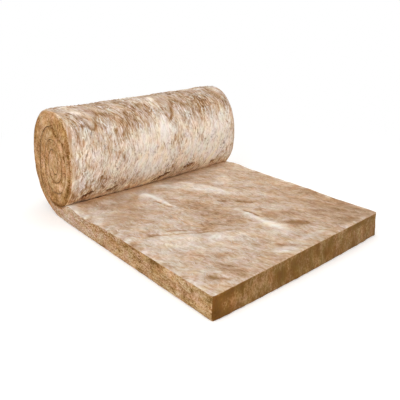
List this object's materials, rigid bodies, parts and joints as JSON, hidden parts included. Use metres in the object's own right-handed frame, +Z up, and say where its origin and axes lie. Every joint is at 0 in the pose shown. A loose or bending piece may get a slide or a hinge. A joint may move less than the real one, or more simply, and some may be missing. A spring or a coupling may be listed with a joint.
{
  "type": "insulation roll",
  "caption": "Partly unrolled roll of brown mineral wool insulation: a thick flat mat wound into a leaning oval roll at one end, with its spiral turns showing.",
  "frame": {"origin": "on the floor under the middle of the bounding box: midway across the mat and midway from its free end to the back of the roll", "axes": "+X across the mat, +Y from the free end towards the roll, +Z up"},
  "size_m": [1.2, 1.602, 0.644],
  "materials": {
    "mineral_wool": "uncoated brown mineral wool, matt, with loose pale fibres on its faces"
  },
  "bodies": {
    "root": {"wool_mat": "mineral_wool"}
  },
  "joints": []
}
